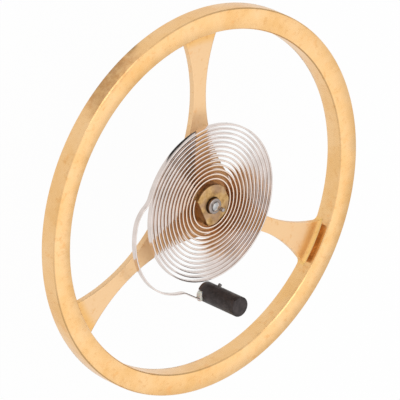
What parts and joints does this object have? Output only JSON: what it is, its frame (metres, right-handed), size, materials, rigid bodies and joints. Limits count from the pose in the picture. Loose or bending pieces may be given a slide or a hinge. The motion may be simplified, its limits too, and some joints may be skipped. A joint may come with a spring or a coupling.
{
  "type": "watch balance wheel",
  "caption": "Watch balance complete: a three-armed wheel on a pivoted staff, with flat hairspring, collet, stud, rollers and impulse jewel.",
  "frame": {"origin": "tip of the lower pivot, on the staff's axis", "axes": "+Z along the staff towards the hairspring side, +Y along the first arm, away from the stud"},
  "size_m": [0.0104, 0.0104, 0.0032],
  "materials": {
    "gilt_alloy": "turned and satin finished gold coloured beryllium copper",
    "polished_steel": "hardened and polished steel",
    "collet_brass": "turned brass",
    "spring_alloy": "rolled and polished spring alloy",
    "blackened_steel": "blackened steel, slightly worn",
    "cement": "hardened pale cement",
    "roller_metal": "turned and polished gold coloured alloy",
    "ruby": "polished synthetic ruby",
    "shellac": "hardened shellac"
  },
  "bodies": {
    "stud_side": {"hairspring_stud": "blackened_steel", "stud_cement": "cement", "hairspring": "spring_alloy"},
    "balance": {"balance_wheel": "gilt_alloy", "balance_staff": "polished_steel", "hairspring_collet": "collet_brass", "roller_table": "roller_metal", "safety_roller": "roller_metal", "impulse_jewel": "ruby", "jewel_shellac": "shellac"}
  },
  "joints": [
    {"name": "balance_swing", "type": "hinge", "parent": "stud_side", "child": "balance", "pos_m": [0, 0, 0.0015], "axis": [0, 0, 1], "range_deg": [-300, 300], "stiffness_Nm_per_rad": 0.00000069, "deforming": ["hairspring"]}
  ]
}
